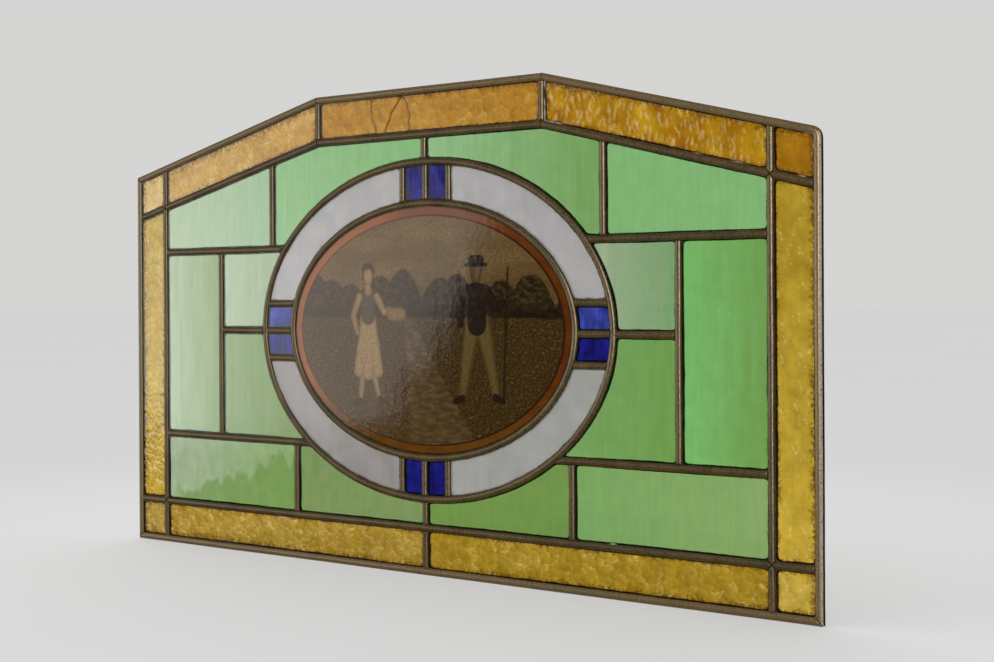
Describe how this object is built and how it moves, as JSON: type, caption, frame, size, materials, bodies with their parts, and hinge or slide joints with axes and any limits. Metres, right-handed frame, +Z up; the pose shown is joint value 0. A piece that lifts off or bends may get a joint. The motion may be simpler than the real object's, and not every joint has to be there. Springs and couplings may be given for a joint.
{
  "type": "stained glass window panel",
  "caption": "Leaded window panel with clipped upper corners: amber border, green panes, and an oval painted roundel in a white and blue glass ring.",
  "frame": {"origin": "middle of the flat underside of the border came, half way through the thickness", "axes": "+X to the right along the sill, +Y from the front face to the back, +Z up"},
  "size_m": [0.8, 0.0072, 0.4625],
  "materials": {
    "lead_came": "lead with a bronze-brown patina, satin, lighter on the worn crowns, dark cement along the edges",
    "amber_glass": "textured amber glass, hammered and rippled",
    "green_glass": "streaky green glass with reams and seeds",
    "opal_glass": "white opal glass, glossy",
    "blue_glass": "dark cobalt glass with streaks",
    "painted_glass": "painted and fired sepia picture with an amber-stained rim"
  },
  "bodies": {
    "root": {"blue_block_bottom_left": "blue_glass", "blue_block_bottom_right": "blue_glass", "blue_block_left_lower": "blue_glass", "blue_block_left_upper": "blue_glass", "blue_block_right_lower": "blue_glass", "blue_block_right_upper": "blue_glass", "blue_block_top_left": "blue_glass", "blue_block_top_right": "blue_glass", "border_came": "lead_came", "border_divider_centre_bottom": "lead_came", "border_divider_knee_left": "lead_came", "border_divider_knee_right": "lead_came", "border_pane_bottom_left": "amber_glass", "border_pane_bottom_right": "amber_glass", "border_pane_corner_bottom_left": "amber_glass", "border_pane_corner_bottom_right": "amber_glass", "border_pane_corner_top_left": "amber_glass", "border_pane_corner_top_right": "amber_glass", "border_pane_side_left": "amber_glass", "border_pane_side_right": "amber_glass", "border_pane_slope_left": "amber_glass", "border_pane_slope_right": "amber_glass", "border_pane_top_middle": "amber_glass", "green_pane_column_left": "green_glass", "green_pane_column_right": "green_glass", "green_pane_lower_inner_left": "green_glass", "green_pane_lower_inner_right": "green_glass", "green_pane_lower_outer_left": "green_glass", "green_pane_lower_outer_right": "green_glass", "green_pane_side_lower_left": "green_glass", "green_pane_side_lower_right": "green_glass", "green_pane_side_upper_left": "green_glass", "green_pane_side_upper_right": "green_glass", "green_pane_upper_inner_left": "green_glass", "green_pane_upper_inner_right": "green_glass", "green_pane_upper_outer_left": "green_glass", "green_pane_upper_outer_right": "green_glass", "inner_frame": "lead_came", "level_came_lower_left": "lead_came", "level_came_lower_right": "lead_came", "level_came_middle_left": "lead_came", "level_came_middle_right": "lead_came", "level_came_upper_left": "lead_came", "level_came_upper_right": "lead_came", "opal_arc_bottom_left": "opal_glass", "opal_arc_bottom_right": "opal_glass", "opal_arc_top_left": "opal_glass", "opal_arc_top_right": "opal_glass", "oval_ring": "lead_came", "painted_roundel": "painted_glass", "upright_came_centre_bottom": "lead_came", "upright_came_centre_top": "lead_came", "upright_came_column_left": "lead_came", "upright_came_column_right": "lead_came", "upright_came_lower_left": "lead_came", "upright_came_lower_right": "lead_came", "upright_came_upper_left": "lead_came", "upright_came_upper_right": "lead_came"}
  },
  "joints": []
}
